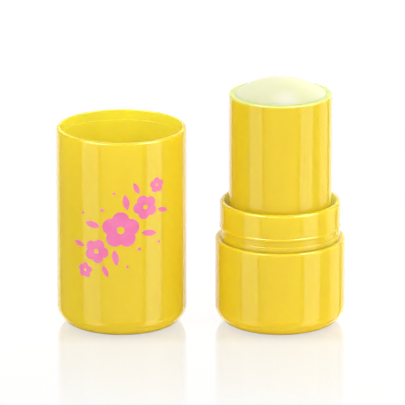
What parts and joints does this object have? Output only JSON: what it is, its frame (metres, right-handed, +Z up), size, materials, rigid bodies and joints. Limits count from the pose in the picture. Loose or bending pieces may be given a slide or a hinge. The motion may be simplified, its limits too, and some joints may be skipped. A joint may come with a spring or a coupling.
{
  "type": "solid perfume stick",
  "caption": "Twist-up stick of solid perfume in glossy yellow plastic, open, with its printed overcap standing beside it.",
  "frame": {"origin": "middle of the base cup's foot, on the surface that the stick stands on", "axes": "+Z up along the stick's axis, -X towards the cap that stands beside it, -Y towards the side of the cap that is printed"},
  "size_m": [0.0711, 0.0321, 0.0621],
  "materials": {
    "yellow_plastic": "polished injection moulding",
    "natural_plastic": "unpolished injection moulding",
    "perfume_wax": "poured wax with a satin skin",
    "pink_ink": "satin pad print"
  },
  "bodies": {
    "base": {"base_cup": "yellow_plastic", "neck_collar": "yellow_plastic", "drive_screw": "natural_plastic"},
    "tube": {"product_tube": "yellow_plastic"},
    "carriage": {"platform": "natural_plastic", "perfume": "perfume_wax"},
    "cap": {"cap": "yellow_plastic", "cap_print": "pink_ink"}
  },
  "joints": [
    {"name": "tube_turn", "type": "hinge", "parent": "base", "child": "tube", "pos_m": [0, 0, 0.0064], "axis": [0, 0, -1], "range_deg": [0, 2160]},
    {"name": "perfume_rise", "type": "slide", "parent": "tube", "child": "carriage", "axis": [0, 0, 1], "range_m": [0, 0.036]},
    {"name": "cap_lift", "type": "slide", "parent": "base", "child": "cap", "axis": [0, 0, 1], "range_m": [0, 0.065]}
  ],
  "couplings": [
    {"joint": "perfume_rise", "follows": "tube_turn", "m_per_rad": 0.00095493}
  ]
}
